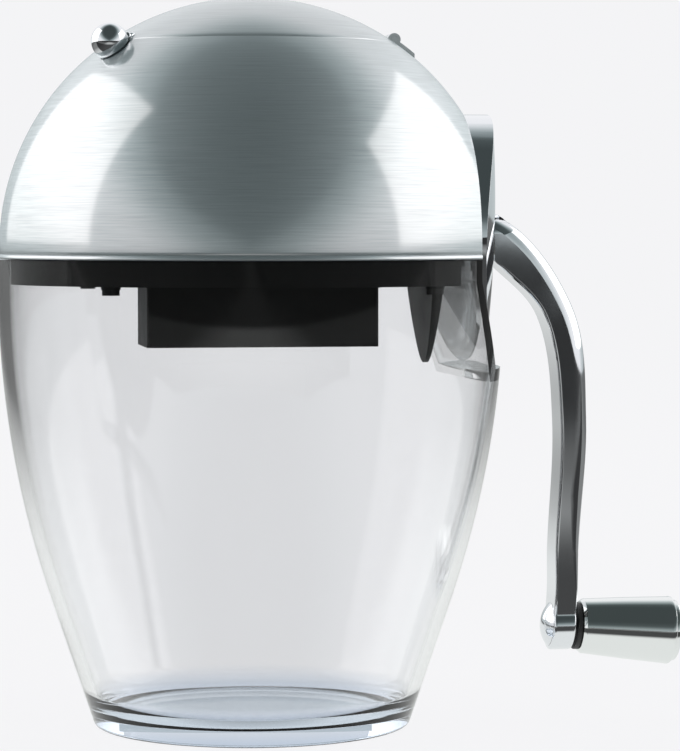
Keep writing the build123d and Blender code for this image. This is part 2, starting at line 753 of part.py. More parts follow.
def blade_outline(twist):
    """A toothed disc: each tooth has a straight biting edge and a curved back."""
    step = 360 / blade_teeth
    for i in range(blade_teeth):
        start = radians(twist + i * step)
        bite = radians(twist + i * step + blade_rake)
        end = radians(twist + (i + 1) * step)
        middle = radians(twist + (i + blade_hollow) * step)
        mid_radius = 0.42 * rotor_radius + 0.58 * blade_root
        Line((blade_root * cos(start), blade_root * sin(start)), (rotor_radius * cos(bite), rotor_radius * sin(bite)))
        ThreePointArc((rotor_radius * cos(bite), rotor_radius * sin(bite)),
                      (mid_radius * cos(middle), mid_radius * sin(middle)),
                      (blade_root * cos(end), blade_root * sin(end)))


for i, place in enumerate(blade_places):
    with BuildPart() as blade:
        with BuildSketch(crank_plane.offset(place - blade_thickness / 2)):
            with BuildLine():
                blade_outline(i * blade_twist)
            make_face()
            Rectangle(shaft_square + 2 * running_gap, shaft_square + 2 * running_gap, mode=Mode.SUBTRACT)
        extrude(amount=blade_thickness)
    save(blade, f"blade_{i + 1}")

spacer_ends = [stack_low_x] + [x + side * blade_thickness / 2 for x in blade_places for side in (-1, 1)]
spacer_ends.append(stack_high_x)
spacer_bore = shaft_square / sqrt(2) + running_gap

with BuildPart() as blade_spacers:
    for low, high in zip(spacer_ends[::2], spacer_ends[1::2]):
        with BuildSketch(crank_plane.offset(low + stack_gap)):
            Circle(spacer_radius)
            Circle(spacer_bore, mode=Mode.SUBTRACT)
        extrude(amount=high - low - 2 * stack_gap)
save(blade_spacers, "blade_spacers")

# ---------------------------------------------------------------- crank arm

arm_bend = (arm_eye_x - 2.1, crank_height - 24.8)
arm_widest = (arm_eye_x + 3.4, (crank_height + grip_height) / 2 + 4)
arm_waist = (arm_eye_x + 1.1, grip_height + 26)
arm_top = (hub_x + 1.5, crank_height)
arm_down = (-sin(grip_lean), -cos(grip_lean))
arm_out = (cos(radians(arm_root_angle)), -sin(radians(arm_root_angle)))
arm_over = (cos(radians(arm_bend_angle)), -sin(radians(arm_bend_angle)))
arm_half_end = arm_eye_thickness / 2


def arm_line(side):
    """One edge of the arm in side view, on the outer side (1) or the inner side (-1)."""
    top = (arm_top[0] - side * arm_half_root * arm_out[1], arm_top[1] + side * arm_half_root * arm_out[0])
    bend = (arm_bend[0] - side * arm_half_bend * arm_over[1], arm_bend[1] + side * arm_half_bend * arm_over[0])
    widest = (arm_widest[0] + side * arm_half_middle, arm_widest[1])
    waist = (arm_waist[0] + side * (arm_half_end + 0.3), arm_waist[1])
    end = (arm_eye_x - side * arm_half_end * arm_down[1] - arm_straight * arm_down[0],
           grip_height + side * arm_half_end * arm_down[0] - arm_straight * arm_down[1])
    return [top, bend, widest, waist, end]


with BuildPart() as crank_arm:
    with BuildSketch(Plane.XZ):
        with BuildLine():
            outer = arm_line(1)
            inner = arm_line(-1)
            drop = arm_straight + arm_eye_radius + 2
            outer_end = (outer[-1][0] + drop * arm_down[0], outer[-1][1] + drop * arm_down[1])
            inner_end = (inner[-1][0] + drop * arm_down[0], inner[-1][1] + drop * arm_down[1])
            Spline(*outer, tangents=[arm_out, arm_down])
            Polyline(outer[-1], outer_end, inner_end, inner[-1])
            Spline(*inner, tangents=[arm_out, arm_down])
            Line(inner[0], outer[0])
        make_face()
    extrude(amount=arm_width, both=True)
    with BuildSketch(crank_plane):
        with Locations((0, (grip_height - crank_height) / 2)):
            Rectangle(arm_width, crank_height - grip_height)
        with Locations((0, grip_height - crank_height)):
            Circle(arm_eye_radius)
        Circle(hub_radius)
        with Locations((0, hub_radius)):
            Circle(hub_radius)
    extrude(amount=2 * jar_radius, mode=Mode.INTERSECT)
    with BuildSketch(crank_plane.offset(hub_x)):
        Circle(hub_radius)
    extrude(amount=hub_length)
    box_between((0, -jar_radius, 0), (hub_x, jar_radius, 2 * jar_height), Mode.SUBTRACT)
    with BuildSketch(crank_plane.offset(hub_x)):
        Circle(journal_radius + running_gap)
    extrude(amount=shaft_end_x - hub_x + 0.1, mode=Mode.SUBTRACT)
    with BuildSketch(grip_plane):
        Circle(grip_pin_radius + running_gap)
    extrude(amount=20, both=True, mode=Mode.SUBTRACT)
save(crank_arm, "crank_arm")

# ---------------------------------------------------------------- grip

rivet_start = -arm_eye_thickness / 2 - stack_gap
rivet_curve = (rivet_head_radius**2 + rivet_head_height**2) / (2 * rivet_head_height)
pin_end = grip_start + grip_length - grip_counterbore + grip_counterbore_gap

with BuildPart() as grip:
    with BuildSketch(Plane(origin=grip_plane.origin, x_dir=grip_plane.z_dir, z_dir=(0, -1, 0))):
        with BuildLine():
            Polyline(
                (grip_start, 0), (grip_start, grip_small_radius - grip_bevel),
                (grip_start + grip_bevel, grip_small_radius),
                (grip_start + grip_length, grip_large_radius), (grip_start + grip_length, 0), close=True,
            )
        make_face()
    revolve(axis=Axis(grip_plane.origin, grip_plane.z_dir))
    with BuildSketch(grip_plane.offset(grip_start)):
        Circle(grip_pin_radius + running_gap)
    extrude(amount=grip_length, mode=Mode.SUBTRACT)
    with BuildSketch(grip_plane.offset(grip_start + grip_length - grip_counterbore)):
        Circle(grip_pin_head_radius + 1)
    extrude(amount=grip_counterbore, mode=Mode.SUBTRACT)
save(grip, "grip")

with BuildPart() as grip_end_cap:
    with BuildSketch(grip_plane.offset(grip_start + grip_length)):
        Circle(grip_large_radius - cap_step)
    extrude(amount=cap_thickness)
    chamfer(grip_end_cap.edges().group_by(Axis(grip_plane.origin, grip_plane.z_dir))[-1], length=0.6)
    with BuildSketch(grip_plane.offset(grip_start + grip_length - cap_thickness)):
        Circle(grip_pin_head_radius + 1 - running_gap)
    extrude(amount=cap_thickness)
save(grip_end_cap, "grip_end_cap")

with BuildPart() as grip_pin:
    with BuildSketch(grip_plane.offset(rivet_start)):
        Circle(grip_pin_radius)
    extrude(amount=pin_end - rivet_start)
    with BuildSketch(grip_plane.offset(pin_end)):
        Circle(grip_pin_head_radius)
    extrude(amount=grip_pin_head)
    with BuildSketch(Plane(origin=grip_plane.origin, x_dir=grip_plane.z_dir, z_dir=(0, -1, 0))):
        with BuildLine():
            RadiusArc((rivet_start - rivet_head_height, 0), (rivet_start, rivet_head_radius), rivet_curve)
            Polyline((rivet_start, rivet_head_radius), (rivet_start, 0), (rivet_start - rivet_head_height, 0))
        make_face()
    revolve(axis=Axis(grip_plane.origin, grip_plane.z_dir))
save(grip_pin, "grip_pin")

with BuildPart() as grip_washer:
    with BuildSketch(grip_plane.offset(grip_start - washer_thickness - stack_gap)):
        Circle(washer_radius)
        Circle(grip_pin_radius + running_gap, mode=Mode.SUBTRACT)
    extrude(amount=washer_thickness)
save(grip_washer, "grip_washer")

# ---------------------------------------------------------------- screws

with BuildPart() as chassis_screws:
    with BuildSketch(Plane.XY.offset(deck_bottom - screw_pad_proud - screw_head_height)):
        with Locations(*screw_pads):
            Circle(small_screw_head)
    extrude(amount=screw_head_height)
    with BuildSketch(Plane.XY.offset(deck_bottom - screw_pad_proud)):
        with Locations(*screw_pads):
            Circle(small_screw_radius)
    extrude(amount=lug_bottom + lug_thickness + 1 - deck_bottom + screw_pad_proud)
save(chassis_screws, "chassis_screws")

with BuildPart() as shield_screws_group:
    with BuildSketch(crank_plane.offset(dome_flat_x - dome_sheet - screw_head_height)):
        with Locations(*shield_screws):
            Circle(small_screw_head)
    extrude(amount=screw_head_height)
    with BuildSketch(crank_plane.offset(dome_flat_x - dome_sheet)):
        with Locations(*shield_screws):
            Circle(small_screw_radius - 2 * screw_gap)
    extrude(amount=dome_sheet + shield_screw_depth)
save(shield_screws_group, "shield_screws")

with BuildPart() as comb_screws:
    for side in (-1, 1):
        for x in (chute_middle_x - comb_screw_spread, chute_middle_x + comb_screw_spread):
            screw_plane = Plane(origin=(x, side * chamber_outer_width, comb_screw_height), z_dir=(0, side, 0))
            with BuildSketch(screw_plane):
                Circle(small_screw_head)
            extrude(amount=screw_head_height)
            with BuildSketch(screw_plane):
                Circle(small_screw_radius)
            extrude(amount=-(chute_wall + comb_sheet))
save(comb_screws, "comb_screws")
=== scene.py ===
# %% [markdown]
# # A hand-cranked ice crusher
# The object is a clear jar with a round steel dome on it. A crank on the right turns a toothed rotor inside
# the dome, and the crushed ice falls into the jar. The lid is the top of the ball, with a small knob.
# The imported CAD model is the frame. Every smooth metal or clear part gets a new mesh at the same place,
# because large curved shapes show their facets in reflections, and a spun outline does not.

# %% Load the frame
from math import acos, asin, atan2, cos, degrees, pi, radians, sin, sqrt, tan

import bpy
from mathutils import Matrix, Vector


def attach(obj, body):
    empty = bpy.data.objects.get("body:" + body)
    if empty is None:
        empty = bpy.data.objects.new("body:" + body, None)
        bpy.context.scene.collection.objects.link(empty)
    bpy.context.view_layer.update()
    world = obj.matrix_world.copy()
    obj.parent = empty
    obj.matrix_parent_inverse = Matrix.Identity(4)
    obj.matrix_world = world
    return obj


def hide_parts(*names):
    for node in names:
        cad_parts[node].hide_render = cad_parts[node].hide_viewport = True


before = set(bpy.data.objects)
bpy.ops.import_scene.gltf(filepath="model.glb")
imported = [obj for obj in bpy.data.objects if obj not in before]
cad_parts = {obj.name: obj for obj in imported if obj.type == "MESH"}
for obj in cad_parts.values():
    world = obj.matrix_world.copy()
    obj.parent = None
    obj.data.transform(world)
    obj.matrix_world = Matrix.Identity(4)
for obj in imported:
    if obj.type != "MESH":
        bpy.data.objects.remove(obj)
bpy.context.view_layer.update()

# %% [markdown]
# ## Sizes
# These are the sizes that the CAD source has, in millimetres, so that each new mesh fits its neighbours.
# Blender works in metres here, so points are written in millimetres and made metres as they are drawn.

# %% Sizes in millimetres
mm = 0.001

jar_radius = 84.0
jar_height = 155.2
jar_wall = 3.8
jar_floor = 5.8
belly_radius = 333.0
widest_height = 148.0
taper_height = 41.4
foot_rounding = 2.0
floor_fillet = 11.0
facet_x = 67.8
facet_bend_height = 148.0
ledge_x = 76.0
ledge_height = 119.4

head_base = 155.5
dome_radius = 83.5
dome_centre = 158.1
dome_sheet = 1.0
dome_flat_x = 68.0
hem_proud = 0.5
hem_height = 1.5
filling_radius = 48.3
seam_height = dome_centre + sqrt(dome_radius**2 - filling_radius**2)
knob_radius = 6.0
knob_gap = 0.5
knob_rise = 3.0
knob_bearing = radians(25)
knob_out = filling_radius + 5.9
knob_height = dome_centre + sqrt((dome_radius + knob_rise) ** 2 - knob_out**2)
knob_way = Vector((-cos(knob_bearing), -sin(knob_bearing), 0))
knob_place = knob_way * knob_out + Vector((0, 0, knob_height))
hinge_x = 46.5
hinge_height = seam_height + 1.6
hinge_room = 2.4
hinge_half_length = 10.1

crank_height = 162.5
shield_radius = 41.0
shield_front_x = 80.6
shield_curve = 96.0
shaft_hole_radius = 6.5
bush_hole_radius = 6.15

arm_root_x = 81.3
arm_eye_x = 105.8
arm_eye_radius = 8.3
arm_width = 14.0
arm_half_end = 3.9
grip_height = 30.5
grip_lean = radians(4.0)
grip_start = 6.4
grip_length = 32.0
pin_hole_radius = 3.05
print("seam at", round(seam_height, 2), "mm")

# %% [markdown]
# ## Helpers for shaping
# Most parts of this object are turned, which in Blender is an outline drawn point by point and then spun.
# The outline starts as a small plane that is merged to one point. Each next point is extruded from the
# last. An operator acts on all that is selected, so each step first selects its own piece and nothing else.

# %% Draw an outline and spin it
def select_only(piece):
    bpy.ops.object.select_all(action="DESELECT")
    bpy.context.view_layer.objects.active = piece
    piece.select_set(True)


def draw_outline(name, points, closed=False):
    """Draws a chain of points, given in millimetres, and leaves it in edit mode, all selected."""
    bpy.ops.object.select_all(action="DESELECT")
    bpy.ops.mesh.primitive_plane_add(size=mm)
    piece = bpy.context.object
    piece.name = name
    piece.data.name = name
    bpy.ops.object.mode_set(mode="EDIT")
    bpy.ops.mesh.select_mode(type="VERT")
    bpy.ops.mesh.select_all(action="SELECT")
    bpy.ops.mesh.merge(type="CENTER")
    places = [Vector(point) * mm for point in points]
    bpy.ops.transform.translate(value=places[0])
    for here, there in zip(places, places[1:]):
        bpy.ops.mesh.extrude_region_move(TRANSFORM_OT_translate={"value": there - here})
    bpy.ops.mesh.select_all(action="SELECT")
    if closed:
        bpy.ops.mesh.edge_face_add()
    return piece


def turn_outline(name, outline, steps=128, shell=False):
    """Spins an outline of (radius, height) pairs about Z. A shell's outline is joined end to end."""
    piece = draw_outline(name, [(radius, 0, height) for radius, height in outline], closed=shell)
    if shell:
        bpy.ops.mesh.delete(type="ONLY_FACE")
        bpy.ops.mesh.select_all(action="SELECT")
    bpy.ops.mesh.spin(steps=steps, angle=2 * pi, center=(0, 0, 0), axis=(0, 0, 1))
    bpy.ops.mesh.select_all(action="SELECT")
    bpy.ops.mesh.remove_doubles(threshold=1e-6)
    bpy.ops.mesh.normals_make_consistent(inside=False)
    bpy.ops.object.mode_set(mode="OBJECT")
    print(name, len(piece.data.vertices), "vertices")
    return piece


def rod(name, radius, low, high, steps):
    """A plain round bar about the Z axis, used as a cutting tool."""
    return turn_outline(name, [(0, low), (radius, low), (radius, high), (0, high)], steps)


# %% Arcs as short runs of points
def arc(centre_x, centre_y, radius, start, end, count):
    """Points on an arc from start to end, in degrees, both ends among them."""
    angles = [radians(start + (end - start) * i / count) for i in range(count + 1)]
    return [(centre_x + radius * cos(a), centre_y + radius * sin(a)) for a in angles]


# %% Cut, join and keep the common part
def combine(piece, tool, operation):
    """Cuts the tool from the piece, joins them, or keeps what they share. The tool is used up."""
    select_only(piece)
    step = piece.modifiers.new("combine", "BOOLEAN")
    step.operation = operation
    step.solver = "EXACT"
    step.object = tool
    bpy.ops.object.modifier_apply(modifier=step.name)
    bpy.data.meshes.remove(tool.data)


def block(name, low, high):
    """A box between two corners in millimetres, used as a cutting tool."""
    bpy.ops.object.select_all(action="DESELECT")
    middle = (Vector(low) + Vector(high)) * 0.5 * mm
    bpy.ops.mesh.primitive_cube_add(size=1, location=middle)
    piece = bpy.context.object
    piece.name = name
    piece.scale = (Vector(high) - Vector(low)) * mm
    bpy.ops.object.transform_apply(location=True, rotation=True, scale=True)
    return piece


def prism(name, points, half_width):
    """A flat outline of (x, z) pairs drawn on the middle plane and extruded to both sides."""
    piece = draw_outline(name, [(x, -half_width, z) for x, z in points], closed=True)
    bpy.ops.mesh.extrude_region_move(TRANSFORM_OT_translate={"value": (0, 2 * half_width * mm, 0)})
    bpy.ops.mesh.select_all(action="SELECT")
    bpy.ops.mesh.normals_make_consistent(inside=False)
    bpy.ops.object.mode_set(mode="OBJECT")
    return piece


# %% Lay a turned piece in its place
def lay_along(piece, origin, direction):
    """Lays a piece that was turned about Z along a direction, from a point in millimetres."""
    select_only(piece)
    turn = Vector(direction).to_track_quat("Z", "Y").to_matrix().to_4x4()
    piece.matrix_world = Matrix.Translation(Vector(origin) * mm) @ turn
    bpy.ops.object.transform_apply(location=True, rotation=True, scale=True)


# %% Finish a piece: place in the mesh, smooth normals, finish, body
def finish_piece(piece, body, material, nodes, angle):
    """Smooths a piece up to an angle, and puts it on its body with its finish, in place of CAD nodes."""
    select_only(piece)
    bpy.ops.object.transform_apply(location=True, rotation=True, scale=True)
    bpy.ops.object.shade_smooth_by_angle(angle=radians(angle))
    evening = piece.modifiers.new("evening", "WEIGHTED_NORMAL")
    evening.keep_sharp = True
    bpy.ops.object.modifier_apply(modifier=evening.name)
    piece.data.materials.clear()
    piece.data.materials.append(material)
    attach(piece, body)
    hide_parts(*nodes)
    print(piece.name, "on", body, len(piece.data.polygons), "faces")


# %% [markdown]
# ## Finishes
# Each finish is a small node tree on Object coordinates, so that it stays on its part when the part moves.

# %% Start a finish
def new_finish(name, colour, roughness, metallic=0.0):
    """A material with its tree, its shader with the plain values set, and its coordinates node."""
    material = bpy.data.materials.new(name)
    material.use_nodes = True
    tree = material.node_tree
    shader = tree.nodes["Principled BSDF"]
    shader.inputs["Base Color"].default_value = (*colour, 1)
    shader.inputs["Roughness"].default_value = roughness
    shader.inputs["Metallic"].default_value = metallic
    place = tree.nodes.new("ShaderNodeTexCoord")
    return material, tree, shader, place


def math_node(tree, operation, first, second=None):
    """A Math node whose inputs are sockets or numbers."""
    node = tree.nodes.new("ShaderNodeMath")
    node.operation = operation
    for socket, value in zip(node.inputs, (first, second)):
        if value is None:
            continue
        if isinstance(value, (int, float)):
            socket.default_value = value
        else:
            tree.links.new(value, socket)
    return node.outputs[0]


def fine_noise(tree, vector, scale, detail=2.0, rough=0.5):
    """A noise pattern, as a value from 0 to 1."""
    noise = tree.nodes.new("ShaderNodeTexNoise")
    noise.inputs["Scale"].default_value = scale
    noise.inputs["Detail"].default_value = detail
    noise.inputs["Roughness"].default_value = rough
    tree.links.new(vector, noise.inputs["Vector"])
    return noise.outputs["Fac"]


def between(tree, value, low, high, from_low=0.0, from_high=1.0):
    """Maps a value to a new range."""
    node = tree.nodes.new("ShaderNodeMapRange")
    node.inputs["From Min"].default_value = from_low
    node.inputs["From Max"].default_value = from_high
    node.inputs["To Min"].default_value = low
    node.inputs["To Max"].default_value = high
    tree.links.new(value, node.inputs["Value"])
    return node.outputs["Result"]


def add_bump(tree, shader, height, strength, distance):
    bump = tree.nodes.new("ShaderNodeBump")
    bump.inputs["Strength"].default_value = strength
    bump.inputs["Distance"].default_value = distance
    tree.links.new(height, bump.inputs["Height"])
    tree.links.new(bump.outputs["Normal"], shader.inputs["Normal"])


# %% [markdown]
# ### Turned steel
# The dome was spun and then brushed while it turned, so it has very fine lines that run round it. They
# change with how far a point is from the pole, measured along the ball, and hardly at all round it, so a
# noise that is read along that distance gives them. Such a face has two reflections at once. The grooves
# scatter light widely, which is the metal's own high roughness. The flat tops between them still mirror,
# which is the coat over it.

# %% Turned steel
lines_per_metre = 2600
line_drift = 0.02


def turned_steel(name, colour, tops):
    material, tree, shader, place = new_finish(name, colour, 0.68, 1.0)
    shader.inputs["Coat Weight"].default_value = 1.0
    shader.inputs["Coat IOR"].default_value = 4.0
    shader.inputs["Coat Roughness"].default_value = tops
    split = tree.nodes.new("ShaderNodeSeparateXYZ")
    tree.links.new(place.outputs["Object"], split.inputs[0])
    across = math_node(tree, "SQRT", math_node(tree, "ADD",
        math_node(tree, "POWER", math_node(tree, "ABSOLUTE", split.outputs["X"]), 2.0),
        math_node(tree, "POWER", math_node(tree, "ABSOLUTE", split.outputs["Y"]), 2.0)))
    rise = math_node(tree, "SUBTRACT", split.outputs["Z"], dome_centre * mm)
    from_pole = math_node(tree, "MULTIPLY", math_node(tree, "ARCTAN2", across, rise), dome_radius * mm)
    line_place = tree.nodes.new("ShaderNodeCombineXYZ")
    tree.links.new(from_pole, line_place.inputs["X"])
    for axis, socket in (("X", "Y"), ("Y", "Z")):
        drift = math_node(tree, "MULTIPLY", split.outputs[axis], line_drift)
        tree.links.new(drift, line_place.inputs[socket])
    lines = fine_noise(tree, line_place.outputs[0], lines_per_metre, 2.0, 0.6)
    smudge = fine_noise(tree, place.outputs["Object"], 22, 3.0)
    tree.links.new(between(tree, lines, 0.58, 0.78, 0.3, 0.7), shader.inputs["Roughness"])
    tone = tree.nodes.new("ShaderNodeMix")
    tone.data_type = "RGBA"
    tone.inputs["A"].default_value = (*colour, 1)
    tone.inputs["B"].default_value = (*[c * 0.88 for c in colour], 1)
    worn = math_node(tree, "MULTIPLY", lines, smudge)
    tree.links.new(between(tree, worn, 0.0, 1.0, 0.1, 0.4), tone.inputs["Factor"])
    tree.links.new(tone.outputs["Result"], shader.inputs["Base Color"])
    add_bump(tree, shader, lines, 0.4, 0.00001)
    return material


dome_steel = turned_steel("turned_steel", (0.64, 0.72, 0.74), 0.13)
lid_steel = turned_steel("turned_lid_steel", (0.66, 0.73, 0.75), 0.14)

# %% [markdown]
# ### Polished chrome
# Chrome is a mirror with a faint blue tint. Real plating is never quite flat, so a very low, wide swell in
# the bump bends reflections a little, and faint smears change the roughness where it is handled.

# %% Polished chrome
def polished(name, colour, roughness, swell):
    material, tree, shader, place = new_finish(name, colour, roughness, 1.0)
    smears = fine_noise(tree, place.outputs["Object"], 40, 2.0, 0.5)
    smeared = between(tree, smears, roughness, roughness + 0.05, 0.45, 0.75)
    tree.links.new(smeared, shader.inputs["Roughness"])
    add_bump(tree, shader, fine_noise(tree, place.outputs["Object"], 35, 1.0), swell, 0.0004)
    return material


chrome = polished("polished_chrome", (0.80, 0.82, 0.84), 0.05, 0.03)
grip_chrome = polished("plated_grip", (0.82, 0.84, 0.83), 0.07, 0.04)
hinge_steel = polished("pale_hinge_steel", (0.84, 0.86, 0.87), 0.3, 0.05)
shaft_steel = polished("ground_shaft_steel", (0.6, 0.61, 0.62), 0.25, 0.1)

# %% [markdown]
# ### Cutting steel, screws
# The blades and combs are stamped and ground, so they have straight fine scratches, and screws are plated.

# %% Cutting steel and plated screws
def ground_steel(name, colour, roughness):
    material, tree, shader, place = new_finish(name, colour, roughness, 1.0)
    stretch = tree.nodes.new("ShaderNodeMapping")
    stretch.inputs["Scale"].default_value = (1, 0.06, 1)
    tree.links.new(place.outputs["Object"], stretch.inputs["Vector"])
    scratches = fine_noise(tree, stretch.outputs["Vector"], lines_per_metre, 3.0, 0.7)
    tree.links.new(between(tree, scratches, roughness - 0.08, roughness + 0.12), shader.inputs["Roughness"])
    add_bump(tree, shader, scratches, 0.3, 0.00005)
    return material


cutting_steel = ground_steel("ground_cutting_steel", (0.62, 0.63, 0.64), 0.3)
black_screws = ground_steel("blackened_screws", (0.03, 0.03, 0.03), 0.45)
screw_steel = ground_steel("plated_screws", (0.66, 0.65, 0.6), 0.32)

# %% [markdown]
# ### Moulded plastics
# The black parts are moulded with a fine, even grain that breaks up the shine. The jar is clear, with a
# smooth face, a very weak flow ripple, and a blue cast in its thick foot. The bushes are a plain off-white
# bearing plastic.

# %% Black, clear and bearing plastics
def moulded(name, colour, roughness, grain, shine=0.5):
    material, tree, shader, place = new_finish(name, colour, roughness)
    shader.inputs["Specular IOR Level"].default_value = shine
    spots = fine_noise(tree, place.outputs["Object"], 1500, 2.0, 0.6)
    wear = fine_noise(tree, place.outputs["Object"], 45, 4.0, 0.6)
    worn = between(tree, wear, roughness - 0.06, roughness + 0.08, 0.3, 0.7)
    tree.links.new(worn, shader.inputs["Roughness"])
    add_bump(tree, shader, spots, grain, 0.00006)
    return material


foot_blue = (0.55, 0.65, 0.78)
foot_blue_height = 0.012


def clear_plastic(name, colour, roughness):
    material, tree, shader, place = new_finish(name, colour, roughness)
    shader.inputs["Transmission Weight"].default_value = 1.0
    shader.inputs["IOR"].default_value = 1.49
    split = tree.nodes.new("ShaderNodeSeparateXYZ")
    tree.links.new(place.outputs["Object"], split.inputs[0])
    tint = tree.nodes.new("ShaderNodeMix")
    tint.data_type = "RGBA"
    tint.inputs["A"].default_value = (*foot_blue, 1)
    tint.inputs["B"].default_value = (*colour, 1)
    above_foot = between(tree, split.outputs["Z"], 0.0, 1.0, 0.0, foot_blue_height)
    tree.links.new(above_foot, tint.inputs["Factor"])
    tree.links.new(tint.outputs["Result"], shader.inputs["Base Color"])
    ripple = fine_noise(tree, place.outputs["Object"], 18, 1.0)
    haze = fine_noise(tree, place.outputs["Object"], 300, 3.0)
    tree.links.new(between(tree, haze, roughness, roughness + 0.02, 0.5, 0.8), shader.inputs["Roughness"])
    add_bump(tree, shader, ripple, 0.05, 0.001)
    return material


black_plastic = moulded("black_moulded_plastic", (0.034, 0.035, 0.032), 0.42, 0.3)
rim_plastic = moulded("black_rim_plastic", (0.005, 0.0055, 0.005), 0.34, 0.15, 0.14)
bush_plastic = moulded("bearing_plastic", (0.62, 0.6, 0.54), 0.5, 0.2)
washer_plastic = moulded("washer_plastic", (0.03, 0.03, 0.03), 0.5, 0.2)
jar_plastic = clear_plastic("clear_jar_plastic", (0.93, 0.935, 0.94), 0.02)
print("finishes:", len(bpy.data.materials))

# %% [markdown]
# ## The jar
# The jar is moulded in clear plastic. Its side is a straight cone at the foot that swells into a long curve,
# and its crank side has a flat recess for the shield. It is made as two turned solids, one for the outside
# and one for the inside, because each can have the recess cut from it before one is cut from the other.
# That keeps the wall's thickness even at the recess too, which matters in a clear part.

# %% Outline of the jar's outside or inside
def jar_outline(inset, bottom, corner, top):
    lean = asin((widest_height - taper_height) / belly_radius)
    curve = belly_radius - inset
    middle_x = jar_radius - belly_radius
    cone_top = (middle_x + curve * cos(lean), widest_height - curve * sin(lean))
    foot = cone_top[0] - (cone_top[1] - bottom) * tan(lean)
    set_back = corner * tan((pi / 2 - lean) / 2)
    outline = [(0, bottom)] + arc(foot - set_back, bottom + corner, corner, -90, -degrees(lean), 8)
    outline += arc(middle_x, widest_height, curve, -degrees(lean), 0, 28)
    return outline + [(jar_radius - inset, top), (0, top)]


above_all = 260
beyond_shield = 140


def recess_tool(name, grow):
    """The space of the recess, seen from the side, made larger by a wall's thickness."""
    slope = atan2(ledge_x - facet_x, facet_bend_height - ledge_height)
    low_shift = grow * (1 / cos(slope) + tan(slope))
    points = [(facet_x - grow, above_all), (facet_x - grow, facet_bend_height - grow * tan(slope / 2)),
              (ledge_x - low_shift, ledge_height - grow), (beyond_shield, ledge_height - grow),
              (beyond_shield, above_all)]
    return prism(name, points, 90)


# %% Make the jar
jar = turn_outline("jar", jar_outline(0, 0, foot_rounding, jar_height), 144)
combine(jar, recess_tool("recess", 0), "DIFFERENCE")
jar_inside = turn_outline("jar_inside", jar_outline(jar_wall, jar_floor, floor_fillet, jar_height + 5), 144)
combine(jar_inside, recess_tool("recess_inside", jar_wall), "DIFFERENCE")
combine(jar, jar_inside, "DIFFERENCE")


# %% Round the jar's rim
def sharp_edges(piece, limit):
    """A set of the edges whose faces meet at more than a limit, as pairs of vertex numbers."""
    faces_at = {}
    for face in piece.data.polygons:
        for key in face.edge_keys:
            faces_at.setdefault(key, []).append(face.normal.copy())
    return {key for key, normals in faces_at.items()
            if len(normals) == 2 and normals[0].length and normals[1].length
            and normals[0].angle(normals[1], 0) > radians(limit)}


def round_edges(piece, width, segments, test):
    """Bevels the sharp edges of a piece that pass a test of their two ends, in millimetres."""
    sharp = sharp_edges(piece, 40)
    select_only(piece)
    bpy.ops.object.mode_set(mode="EDIT")
    bpy.ops.mesh.select_all(action="DESELECT")
    bpy.ops.mesh.select_mode(type="EDGE")
    bpy.ops.object.mode_set(mode="OBJECT")
    count = 0
    for edge in piece.data.edges:
        ends = [piece.data.vertices[i].co / mm for i in edge.vertices]
        edge.select = edge.key in sharp and bool(test(*ends))
        count += edge.select
    bpy.ops.object.mode_set(mode="EDIT")
    bpy.ops.mesh.bevel(offset=width * mm, segments=segments, affect="EDGES", clamp_overlap=True)
    bpy.ops.object.mode_set(mode="OBJECT")
    print(piece.name, "rounded", count, "edges")


round_edges(jar, 0.7, 3, lambda a, b: min(a.z, b.z) > jar_height - 0.01)
finish_piece(jar, "jar", jar_plastic, ["container"], 30)

# %% [markdown]
# ## The dome
# The dome is half a ball of steel sheet with a rolled hem at its foot. The hem leans inwards at its top,
# which makes the bright line along the foot. On the crank side the ball is cut by an upright flat, where
# the shield is fixed. The inside is made the same way and cut out, so the sheet is as thick at the flat as
# elsewhere. The filling hole at the top leaves the seam that the lid closes.

# %% Make the dome
hem_radius = dome_radius + hem_proud
hem_corner = 0.45
hem_bead = 1.0
dome_outline = [(0, head_base)]
dome_outline += arc(hem_radius - hem_corner, head_base + hem_corner, hem_corner, -90, 20, 5)
dome_outline += arc(hem_radius - hem_bead, head_base + hem_height - hem_bead, hem_bead, 35, 75, 5)
dome_outline += [(dome_radius - 0.1, head_base + hem_height + 0.1), (dome_radius, dome_centre - 0.6)]
dome_outline += arc(0, dome_centre, dome_radius, 0, 90, 64)
dome = turn_outline("dome", dome_outline, 192)
combine(dome, block("dome_flat", (dome_flat_x, -120, 140), (150, 120, 260)), "DIFFERENCE")
inner_radius = dome_radius - dome_sheet
inside_outline = [(0, head_base - 1), (inner_radius, head_base - 1)]
inside_outline += arc(0, dome_centre, inner_radius, 0, 90, 48)
dome_hollow = turn_outline("dome_hollow", inside_outline, 144)
hollow_flat = block("hollow_flat", (dome_flat_x - dome_sheet, -120, 140), (150, 120, 260))
combine(dome_hollow, hollow_flat, "DIFFERENCE")
combine(dome, dome_hollow, "DIFFERENCE")

# %% [markdown]
# The knob sits in a round dent at the seam. A ball that is larger than the knob by a gap and the sheet's
# thickness is joined to the dome from inside, and the knob's own space is cut from it.

